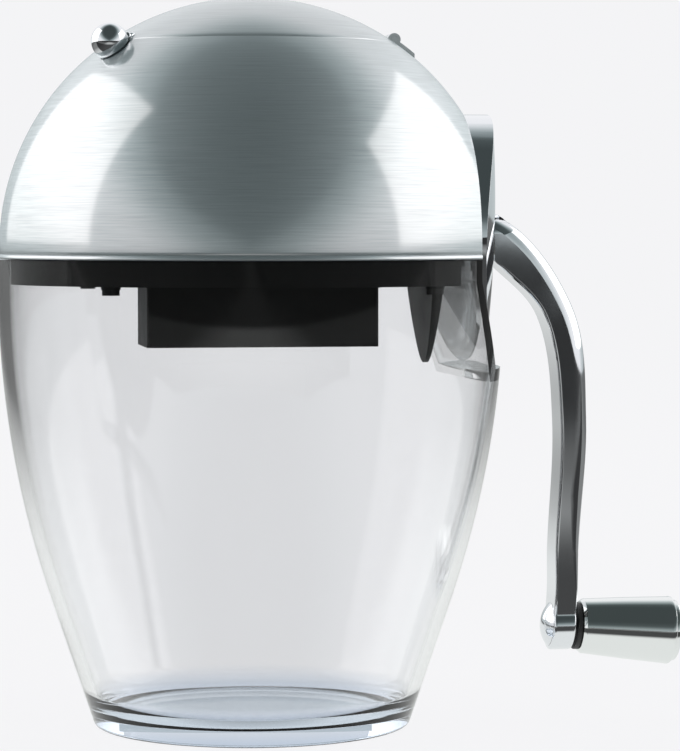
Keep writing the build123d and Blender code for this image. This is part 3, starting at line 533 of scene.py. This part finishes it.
# %% Dent for the knob, filling hole, notch for the hinge
dent = turn_outline("dent", arc(0, 0, knob_radius + knob_gap + dome_sheet, -90, 90, 24), 48)
lay_along(dent, knob_place, (0, 0, 1))
dent_limit = turn_outline("dent_limit",
                          [(0, head_base)] + arc(0, dome_centre, dome_radius, 0, 90, 64), 192)
combine(dent, dent_limit, "INTERSECT")
combine(dome, dent, "UNION")
combine(dome, rod("hole", filling_radius, 190, 250, 144), "DIFFERENCE")
knob_space = turn_outline("knob_space", arc(0, 0, knob_radius + knob_gap, -90, 90, 24), 48)
lay_along(knob_space, knob_place, (0, 0, 1))
combine(dome, knob_space, "DIFFERENCE")
hinge_space = rod("hinge_space", hinge_room, -hinge_half_length, hinge_half_length, 32)
lay_along(hinge_space, (hinge_x, 0, hinge_height), (0, 1, 0))
combine(dome, hinge_space, "DIFFERENCE")
shaft_hole = rod("shaft_hole", shaft_hole_radius, 0, 100, 48)
lay_along(shaft_hole, (20, 0, crank_height), (1, 0, 0))
combine(dome, shaft_hole, "DIFFERENCE")


def on_filling_edge(a, b):
    """An edge round the filling hole, clear of the knob's dent and of the hinge."""
    level = min(a.z, b.z) > 218 and a.xy.length > 47.5 and abs(a.z - b.z) < 0.6
    return level and min(a.x, b.x) > -40 and max(a.x, b.x) < 43


round_edges(dome, 0.35, 2, on_filling_edge)
finish_piece(dome, "head", dome_steel, ["dome_shell"], 30)

# %% [markdown]
# ## The lid
# The lid carries the ball on over the filling hole, with a short lip that drops into it. A narrow dark gap
# and the rounded edge beside it make the bright line that runs round the top of the object.

# %% Make the lid
lid_radius = filling_radius - 0.4
lip_depth = 3.2


def ball_height(radius, across):
    return dome_centre + sqrt(radius**2 - across**2)


edge_height = ball_height(dome_radius, lid_radius)
edge_angle = degrees(acos(lid_radius / dome_radius))
lip_inside = lid_radius - dome_sheet
lip_angle = degrees(acos(lip_inside / inner_radius))
lid_outline = arc(0, dome_centre, dome_radius, 90, edge_angle + 0.5, 40)
lid_outline += [(lid_radius - 0.12, edge_height - 0.12), (lid_radius, edge_height - 0.4),
                (lid_radius, edge_height - lip_depth), (lip_inside, edge_height - lip_depth)]
lid_outline += arc(0, dome_centre, inner_radius, lip_angle, 90, 32)
lid = turn_outline("lid", lid_outline, 176)
hinge_cut = block("hinge_cut", (hinge_x - hinge_room, -hinge_half_length, 200),
                  (120, hinge_half_length, above_all))
combine(lid, hinge_cut, "DIFFERENCE")
finish_piece(lid, "lid", lid_steel, ["lid_cap"], 30)

# %% [markdown]
# ## The knob
# The knob is a polished ball on a short stud that reaches over the lid's edge and is fixed in it. It is one
# turned part: the ball's outline runs into the stud with a small hollow curve, then a low collar.

# %% Make the knob
stud_inside_seam = 3.0
stud_radius = 1.3
stud_out = filling_radius - stud_inside_seam
stud_end = knob_way * stud_out + Vector((0, 0, ball_height(dome_radius - dome_sheet / 2, stud_out)))
stud_direction = stud_end - knob_place
stud_length = stud_direction.length
neck_angle = degrees(asin(2.0 / knob_radius))
knob_outline = arc(0, 0, knob_radius, -90, 90 - neck_angle, 36)
knob_outline += [(1.6, 5.78), (1.4, 5.9), (1.5, 6.1), (1.7, 6.5), (1.75, 6.8), (1.7, 7.1), (1.4, 7.5)]
knob_outline += [(stud_radius, 7.6), (stud_radius, stud_length - 0.3), (1.1, stud_length), (0, stud_length)]
knob = turn_outline("knob", knob_outline, 64)
lay_along(knob, knob_place, stud_direction)
finish_piece(knob, "lid", chrome, ["lid_knob"], 40)

# %% [markdown]
# ## The shield
# A round chromed boss covers the flat of the dome and reaches down into the jar's recess. Its face is a
# little curved both ways, like part of a barrel. So a barrel is turned about an upright axis, and only what
# it shares with a round bar along the crank's axis is kept. The edge round the face is then rounded.

# %% Outline of the barrel
shield_fall_above = 1.1
shield_fall_below = 3.6


def barrel_outline(inset):
    """Side view of the barrel, with its foremost place above the crank's axis."""
    reach = shield_curve - inset
    top = crank_height + shield_radius + 1
    bottom = crank_height - shield_radius - 1
    foremost = crank_height + 0.3 * shield_radius
    outline = [(0, bottom)]
    for i in range(33):
        z = bottom + (top - bottom) * i / 32
        if z > foremost:
            fall = shield_fall_above * ((z - foremost) / (top - foremost)) ** 2
        else:
            fall = shield_fall_below * ((foremost - z) / (foremost - bottom)) ** 2
        outline.append((reach - fall, z))
    return outline + [(0, top)]


def shield_solid(name, inset):
    barrel = turn_outline(name, barrel_outline(inset), 240)
    lay_along(barrel, (shield_front_x - shield_curve, 0, 0), (0, 0, 1))
    bar = rod(name + "_bar", shield_radius - inset, 0, 120, 144)
    lay_along(bar, (40, 0, crank_height), (1, 0, 0))
    combine(barrel, bar, "INTERSECT")
    return barrel


# %% Make the shield
shield_wall = 2.0
post_radius = 3.6
post_out = 27
shield = shield_solid("shield", 0)
round_edges(shield, 2.6, 5, lambda a, b: min(a.x, b.x) > 60)
shield_foot = ledge_height + 0.8
shield_low = prism("shield_low", [(facet_x + 0.8, 200), (facet_x + 0.8, 147.8), (ledge_x + 0.75, shield_foot),
                                  (beyond_shield, shield_foot), (beyond_shield, 200)], 60)
shield_high = block("shield_high", (dome_flat_x + 0.2, -60, head_base), (beyond_shield, 60, 230))
combine(shield_low, shield_high, "UNION")
combine(shield, shield_low, "INTERSECT")
shield_hollow = shield_solid("shield_hollow", shield_wall)
for turn in (30, 90, 150):
    post = rod("post", post_radius, 0, 120, 24)
    post_y, post_z = post_out * cos(radians(turn)), crank_height + post_out * sin(radians(turn))
    lay_along(post, (40, post_y, post_z), (1, 0, 0))
    combine(shield_hollow, post, "DIFFERENCE")
combine(shield, shield_hollow, "DIFFERENCE")
shaft_room = rod("shaft_room", bush_hole_radius, 0, 100, 48)
lay_along(shaft_room, (20, 0, crank_height), (1, 0, 0))
combine(shield, shaft_room, "DIFFERENCE")
finish_piece(shield, "head", chrome, ["side_shield"], 30)

# %% [markdown]
# ## The crank arm
# The arm is a thick chromed forging. From the camera's side it leaves the shield, bends down and hangs
# almost straight, and seen along the crank's axis it is a bar with a round top and a round eye. The first
# view is drawn and extruded to the arm's width, and only what it shares with the second is kept. The edges
# of its outer side are rounded much more than the others, which gives the long highlight on its shoulder.

# %% A smooth line through a few places
def smooth_line(places, start, end, count=12):
    """Points on a curve through the places, with its directions at both ends given."""
    tangents = [Vector(start)]
    for before, after in zip(places, places[2:]):
        tangents.append((Vector(after) - Vector(before)).normalized())
    tangents.append(Vector(end))
    points = []
    for i in range(len(places) - 1):
        a, b = Vector(places[i]), Vector(places[i + 1])
        span = (b - a).length
        for k in range(count):
            t = k / count
            points.append(tuple(a * (2 * t**3 - 3 * t**2 + 1) + tangents[i] * span * (t**3 - 2 * t**2 + t)
                                + b * (3 * t**2 - 2 * t**3) + tangents[i + 1] * span * (t**3 - t**2)))
    return points + [tuple(places[-1])]


# %% The arm's side view
arm_down = (-sin(grip_lean), -cos(grip_lean))
arm_out = (cos(radians(24)), -sin(radians(24)))
arm_under = (cos(radians(46)), -sin(radians(46)))
arm_over = (cos(radians(66)), -sin(radians(66)))
arm_bend = (arm_eye_x - 2.1, crank_height - 24.8)
arm_widest = (arm_eye_x + 3.4, (crank_height + grip_height) / 2 + 4)
arm_waist = (arm_eye_x + 1.1, grip_height + 26)
arm_half_root = 8.2
arm_half_bend = 5.4
arm_half_middle = 4.9
arm_above_eye = 9


def arm_edge(side):
    """One edge of the arm in side view: the outer side is 1 and the inner side is -1."""
    top = (arm_root_x, crank_height + side * arm_half_root)
    bend = (arm_bend[0] - side * arm_half_bend * arm_over[1],
            arm_bend[1] + side * arm_half_bend * arm_over[0])
    widest = (arm_widest[0] + side * arm_half_middle, arm_widest[1])
    waist = (arm_waist[0] + side * (arm_half_end + 0.3), arm_waist[1])
    end = (arm_eye_x - side * arm_half_end * arm_down[1] - arm_above_eye * arm_down[0],
           grip_height + side * arm_half_end * arm_down[0] - arm_above_eye * arm_down[1])
    return [top, bend, widest, waist, end]


outer = arm_edge(1)
inner = arm_edge(-1)
drop = arm_eye_radius + 11
outer_end = (outer[-1][0] + drop * arm_down[0], outer[-1][1] + drop * arm_down[1])
inner_end = (inner[-1][0] + drop * arm_down[0], inner[-1][1] + drop * arm_down[1])
arm_view = smooth_line(outer, arm_out, arm_down) + [outer_end, inner_end]
arm_view += list(reversed(smooth_line(inner, arm_under, arm_down)))
arm = prism("arm", arm_view, 14)

# %% The arm's front view
half = arm_width / 2
eye_angle = degrees(acos(half / arm_eye_radius))
front_view = arc(0, crank_height + 1, half, 0, 180, 36)
front_view += arc(0, grip_height, arm_eye_radius, 180 - eye_angle, 360 + eye_angle, 28)
arm_front = draw_outline("arm_front", [(60, y, z) for y, z in front_view], closed=True)
bpy.ops.mesh.extrude_region_move(TRANSFORM_OT_translate={"value": (80 * mm, 0, 0)})
bpy.ops.mesh.select_all(action="SELECT")
bpy.ops.mesh.normals_make_consistent(inside=False)
bpy.ops.object.mode_set(mode="OBJECT")
combine(arm, arm_front, "INTERSECT")

# %% Rounding and the pin's hole
def distance_to(line, point):
    """The distance of a place from the nearest point of a line of (x, z) pairs."""
    return min((Vector(mark) - Vector((point.x, point.z))).length for mark in line)


outer_marks = smooth_line(outer, arm_out, arm_down, 24) + [outer_end]
inner_marks = smooth_line(inner, arm_under, arm_down, 24) + [inner_end]


def on_outer_side(point):
    return distance_to(outer_marks, point) < distance_to(inner_marks, point)


arm_rounding = 5.2


def edge_share(a, b):
    """How much of the rounding an edge gets: all on the outer side, less near the eye and inside."""
    if min(a.x, b.x) < arm_root_x + 0.3 or on_outer_side(a) != on_outer_side(b):
        return 0.0
    if not on_outer_side(a):
        return 0.2
    middle = (a + b) / 2
    along_drop = min(1.0, max(0.0, (middle.z - grip_height - 12) / 34))
    return 0.16 + 0.84 * along_drop


sharp = sharp_edges(arm, 38)
weights = arm.data.attributes.new("bevel_weight_edge", "FLOAT", "EDGE")
for edge in arm.data.edges:
    ends = [arm.data.vertices[i].co / mm for i in edge.vertices]
    if edge.key in sharp:
        weights.data[edge.index].value = edge_share(*ends)
rounding = arm.modifiers.new("rounding", "BEVEL")
rounding.limit_method = "WEIGHT"
rounding.width = arm_rounding * mm
rounding.segments = 7
rounding.use_clamp_overlap = False
select_only(arm)
bpy.ops.object.modifier_apply(modifier=rounding.name)
pin_room = rod("pin_room", pin_hole_radius, -20, 20, 32)
grip_axis = Vector((cos(grip_lean), 0, -sin(grip_lean)))
grip_origin = (arm_eye_x, 0, grip_height)
lay_along(pin_room, grip_origin, grip_axis)
combine(arm, pin_room, "DIFFERENCE")
finish_piece(arm, "crank", chrome, ["crank_arm"], 32)

# %% [markdown]
# ## The grip
# The grip is a plated sleeve that widens to its free end, with a bright bevel at the arm's side. It spins
# on a long pin that is riveted to the arm's eye: the pin's low round head shows on the inner side. A
# stepped cap closes the free end. All of them are turned about the grip's own leaning axis.

# %% Make the grip and its cap
grip_end = grip_start + grip_length
grip_outline = [(pin_hole_radius, grip_start), (8.0, grip_start), (8.5, grip_start + 0.15),
                (9.15, grip_start + 1.0), (9.3, grip_start + 1.3), (10.5, grip_start + 16),
                (11.45, grip_end - 1.6), (11.58, grip_end - 0.8), (11.45, grip_end - 0.2), (11.2, grip_end),
                (6.0, grip_end), (6.0, grip_end - 8), (pin_hole_radius, grip_end - 8)]
grip = turn_outline("grip", grip_outline, 96, shell=True)
lay_along(grip, grip_origin, grip_axis)
finish_piece(grip, "grip", grip_chrome, ["grip"], 30)

cap_outline = [(0, grip_end - 2), (5.95, grip_end - 2), (5.95, grip_end), (10.4, grip_end),
               (10.4, grip_end + 1.3), (10.2, grip_end + 1.75), (9.8, grip_end + 2.0),
               (8.6, grip_end + 2.0), (8.3, grip_end + 1.6), (0, grip_end + 1.6)]
grip_cap = turn_outline("grip_cap", cap_outline, 96)
lay_along(grip_cap, grip_origin, grip_axis)
finish_piece(grip_cap, "grip", grip_chrome, ["grip_end_cap"], 30)

# %% Make the pin and the washer
rivet_start = -arm_half_end - 0.05
rivet_radius = 7.4
rivet_dome = 2.8
rivet_curve = (rivet_radius**2 + rivet_dome**2) / (2 * rivet_dome)
rivet_angle = degrees(asin(rivet_radius / rivet_curve))
pin_end = grip_end - 7
pin_outline = arc(0, rivet_start - rivet_dome + rivet_curve, rivet_curve, -90, -90 + rivet_angle, 12)
pin_outline += [(7.3, rivet_start), (3.0, rivet_start), (3.0, pin_end), (5.0, pin_end),
                (5.0, pin_end + 2.2), (4.7, pin_end + 2.5), (0, pin_end + 2.5)]
pin = turn_outline("grip_rivet", pin_outline, 72)
lay_along(pin, grip_origin, grip_axis)
finish_piece(pin, "crank", chrome, ["grip_pin"], 35)

washer_low = grip_start - 1.65
washer_outline = [(pin_hole_radius, washer_low), (7.8, washer_low), (8.0, washer_low + 0.2),
                  (8.0, washer_low + 1.4), (7.8, washer_low + 1.6), (pin_hole_radius, washer_low + 1.6)]
washer = turn_outline("washer", washer_outline, 64, shell=True)
lay_along(washer, grip_origin, grip_axis)
finish_piece(washer, "crank", washer_plastic, ["grip_washer"], 30)

# %% [markdown]
# ## Parts that keep their CAD meshes
# The black chassis, the hopper, the rotor, the combs, the bushes, the screws and the hinge are mostly flat
# or small, and are seen through the jar or from below. Their CAD meshes are right as they are, so each only
# gets its finish.

# %% Finishes of the CAD nodes
node_finishes = {
    "chassis": rim_plastic,
    "hopper": black_plastic,
    "left_bush": bush_plastic,
    "right_bush": bush_plastic,
    "shield_bush": bush_plastic,
    "rotor_shaft": shaft_steel,
    "shaft_clip": screw_steel,
    "blade_spacers": shaft_steel,
    "front_comb": cutting_steel,
    "rear_comb": cutting_steel,
    "hinge_bracket": hinge_steel,
    "lid_hinge_leaf": hinge_steel,
    "hinge_pin": hinge_steel,
    "chassis_screws": black_screws,
    "shield_screws": screw_steel,
    "comb_screws": screw_steel,
}
for number in range(1, 6):
    node_finishes[f"blade_{number}"] = cutting_steel
for name, material in node_finishes.items():
    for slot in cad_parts[name].material_slots:
        slot.material = material
print("CAD nodes with a finish:", len(node_finishes))

# %% [markdown]
# ## The studio
# The object stands on a white table in a white room, between two large soft lights. Polished metal has no
# look of its own: its dark and pale bands are the room in the mirror. So the table and the room have one
# even white for the eye, also through the clear jar, and a set of tones for reflections. The tones go from
# the camera's side to the back, and were tried out until the dome, the arm and the black ring looked
# right. A path keeps its Glossy Depth once it has met a mirror, which tells the two apart, also
# where it leaves the jar's wall again as a transmission ray.

# %% Tones from the camera's side to the back
camera_bearing = 8


def camera_turned(tree, vector):
    """The coordinates, turned so that Y runs straight away from the camera, as three values."""
    turn = tree.nodes.new("ShaderNodeMapping")
    turn.inputs["Rotation"].default_value = (0, 0, radians(camera_bearing))
    tree.links.new(vector, turn.inputs["Vector"])
    split = tree.nodes.new("ShaderNodeSeparateXYZ")
    tree.links.new(turn.outputs["Vector"], split.inputs[0])
    return split.outputs


def tone_ramp(tree, tones, colour_of):
    """A colour ramp with a stop for each pair of a position and a tone."""
    ramp = tree.nodes.new("ShaderNodeValToRGB")
    for position, value in tones[1:-1]:
        ramp.color_ramp.elements.new(position)
    for stop, (position, value) in zip(ramp.color_ramp.elements, tones):
        stop.position = position
        stop.color = (*colour_of(value), 1)
    return ramp


# %% The table, for the light it reflects
bpy.ops.object.select_all(action="DESELECT")
bpy.ops.mesh.primitive_plane_add(size=80, location=(0, 0, -0.0002))
table = bpy.context.object
table.name = "table"
table_white = bpy.data.materials.new("table_white")
table_white.use_nodes = True
tree = table_white.node_tree
shader = tree.nodes["Principled BSDF"]
shader.inputs["Base Color"].default_value = (0.83, 0.83, 0.84, 1)
shader.inputs["Roughness"].default_value = 0.9
shader.inputs["Specular IOR Level"].default_value = 0.1

# %% The table, as a reflection shows it
table_place = tree.nodes.new("ShaderNodeTexCoord")
table_turned = camera_turned(tree, table_place.outputs["Object"])
table_depth = table_turned["Y"]
table_tones = ((0.10, 0.07), (0.20, 0.5), (0.55, 0.55), (0.68, 0.05), (0.955, 0.05), (0.972, 0.92))
table_ramp = tone_ramp(tree, table_tones, lambda value: (value, value * 1.02, value * 1.01))
tree.links.new(between(tree, table_depth, 0.0, 1.0, -1.5, 0.0), table_ramp.inputs["Fac"])
behind = math_node(tree, "MAXIMUM", table_depth, 0.0)
aside = math_node(tree, "SUBTRACT", math_node(tree, "ABSOLUTE", table_turned["X"]),
                  math_node(tree, "MULTIPLY", behind, 0.12))
sides = between(tree, aside, 1.0, 0.25, 0.15, 0.5)
beyond = between(tree, table_depth, 1.0, 0.65, 0.3, 1.0)
shown = tree.nodes.new("ShaderNodeVectorMath")
shown.operation = "SCALE"
tree.links.new(table_ramp.outputs["Color"], shown.inputs[0])
tree.links.new(math_node(tree, "MULTIPLY", sides, beyond), shown.inputs["Scale"])
print("table tones:", len(table_tones))

# %% The table, put together
table_even_white = (0.952, 0.952, 0.967)
glow_share = 0.93
rays = tree.nodes.new("ShaderNodeLightPath")
table_tone = tree.nodes.new("ShaderNodeMix")
table_tone.data_type = "RGBA"
table_tone.inputs["A"].default_value = (*table_even_white, 1)
tree.links.new(shown.outputs[0], table_tone.inputs["B"])
reflected = math_node(tree, "MINIMUM", rays.outputs["Glossy Depth"], 1.0)
tree.links.new(reflected, table_tone.inputs["Factor"])
glow = tree.nodes.new("ShaderNodeEmission")
tree.links.new(table_tone.outputs["Result"], glow.inputs["Color"])
bent = math_node(tree, "MAXIMUM", rays.outputs["Is Glossy Ray"], rays.outputs["Is Transmission Ray"])
seen = math_node(tree, "MAXIMUM", rays.outputs["Is Camera Ray"], bent)
blend = tree.nodes.new("ShaderNodeMixShader")
tree.links.new(math_node(tree, "MULTIPLY", seen, glow_share), blend.inputs["Fac"])
tree.links.new(shader.outputs["BSDF"], blend.inputs[1])
tree.links.new(glow.outputs["Emission"], blend.inputs[2])
tree.links.new(blend.outputs["Shader"], tree.nodes["Material Output"].inputs["Surface"])
table.data.materials.append(table_white)

# %% [markdown]
# The world is the room. A reflection of it is dark above and on the camera's side, white all round at the
# object's height, and a little grey low down at the back. The direction alone decides it. The light that
# it gives to rough surfaces is weak and even, because the two soft lights do that work.

# %% The room, as a reflection shows it
world = bpy.data.worlds.new("studio_room")
bpy.context.scene.world = world
world.use_nodes = True
tree = world.node_tree
tree.nodes.clear()
room_place = tree.nodes.new("ShaderNodeTexCoord")
room_turned = camera_turned(tree, room_place.outputs["Generated"])
room_tones = ((0.025, 0.07), (0.10, 0.10), (0.133, 0.16), (0.167, 0.30), (0.205, 0.40), (0.24, 0.52),
              (0.31, 0.80), (0.39, 1.0), (0.65, 1.0), (0.80, 0.64), (0.90, 0.55))
room_ramp = tone_ramp(tree, room_tones, lambda value: (value * (0.80 + 0.20 * value), value, value * 1.02))
sideways = math_node(tree, "MULTIPLY", math_node(tree, "ABSOLUTE", room_turned["X"]), 0.6)
upwards = math_node(tree, "MULTIPLY", room_turned["Z"], 1.62)
depth = math_node(tree, "SUBTRACT", math_node(tree, "ADD", room_turned["Y"], sideways), upwards)
tree.links.new(between(tree, depth, 0.0, 1.0, -1.5, 1.5), room_ramp.inputs["Fac"])
room_mirror = tree.nodes.new("ShaderNodeBackground")
tree.links.new(room_ramp.outputs["Color"], room_mirror.inputs["Color"])
print("room tones:", len(room_tones))

# %% The room, put together
room_white = tree.nodes.new("ShaderNodeBackground")
room_white.inputs["Color"].default_value = (0.905, 0.905, 0.92, 1)
room_light = tree.nodes.new("ShaderNodeBackground")
room_light.inputs["Color"].default_value = (0.9, 0.92, 0.95, 1)
room_light.inputs["Strength"].default_value = 0.35
rays = tree.nodes.new("ShaderNodeLightPath")
reflected = math_node(tree, "MINIMUM", rays.outputs["Glossy Depth"], 1.0)
straight = math_node(tree, "MAXIMUM", rays.outputs["Is Camera Ray"], rays.outputs["Is Transmission Ray"])
seen = math_node(tree, "MAXIMUM", math_node(tree, "SUBTRACT", straight, reflected), 0.0)
bent = math_node(tree, "MAXIMUM", rays.outputs["Is Glossy Ray"], rays.outputs["Is Transmission Ray"])
mirrored = tree.nodes.new("ShaderNodeMixShader")
tree.links.new(bent, mirrored.inputs["Fac"])
tree.links.new(room_light.outputs[0], mirrored.inputs[1])
tree.links.new(room_mirror.outputs[0], mirrored.inputs[2])
room = tree.nodes.new("ShaderNodeMixShader")
tree.links.new(seen, room.inputs["Fac"])
tree.links.new(mirrored.outputs[0], room.inputs[1])
tree.links.new(room_white.outputs[0], room.inputs[2])
room_out = tree.nodes.new("ShaderNodeOutputWorld")
tree.links.new(room.outputs[0], room_out.inputs["Surface"])


# %% The soft lights
def soft_light(name, bearing, distance, offset, width, low, high, radiance):
    """An upright light panel that reaches from low to high. It faces the object at a bearing in degrees from
    the camera's side (-Y), positive towards the crank, and its middle is moved sideways by the offset."""
    light = bpy.data.lights.new(name, "AREA")
    light.shape = "RECTANGLE"
    light.size = width
    light.size_y = high - low
    light.energy = radiance * pi * width * (high - low)
    light.color = (1.0, 0.965, 0.955)
    lamp = bpy.data.objects.new(name, light)
    bpy.context.scene.collection.objects.link(lamp)
    out = Vector((sin(radians(bearing)), -cos(radians(bearing)), 0))
    aside = Vector((cos(radians(bearing)), sin(radians(bearing)), 0))
    lamp.location = out * distance + aside * offset + Vector((0, 0, (low + high) / 2))
    lamp.rotation_euler = out.to_track_quat("Z", "Y").to_euler()
    print(name, "power", round(light.energy, 1), "W at", [round(v, 2) for v in lamp.location])


soft_light("left_soft_light", bearing=-90, distance=1.2, offset=-1.15, width=2.6,
           low=0.2, high=1.84, radiance=1.03)
soft_light("right_soft_light", bearing=93, distance=1.2, offset=0.08, width=1.72,
           low=0.2, high=1.39, radiance=1.03)

# %% [markdown]
# ## The camera
# The camera is about a metre away, at the height of the dome, turned eight degrees to the side away from
# the crank. Its long lens keeps the object's proportions nearly free of perspective.

# %% The camera
camera_tilt = 2.853
camera_pan = 1.63
camera_data = bpy.data.cameras.new("camera")
camera_data.lens = 147.2
camera_data.sensor_width = 36
camera = bpy.data.objects.new("camera", camera_data)
bpy.context.scene.collection.objects.link(camera)
camera.location = (-0.142, -1.013, 0.1673)
camera.rotation_euler = (radians(90 - camera_tilt), 0, -radians(camera_bearing + camera_pan))
bpy.context.scene.camera = camera
bpy.context.scene.view_settings.view_transform = "Standard"
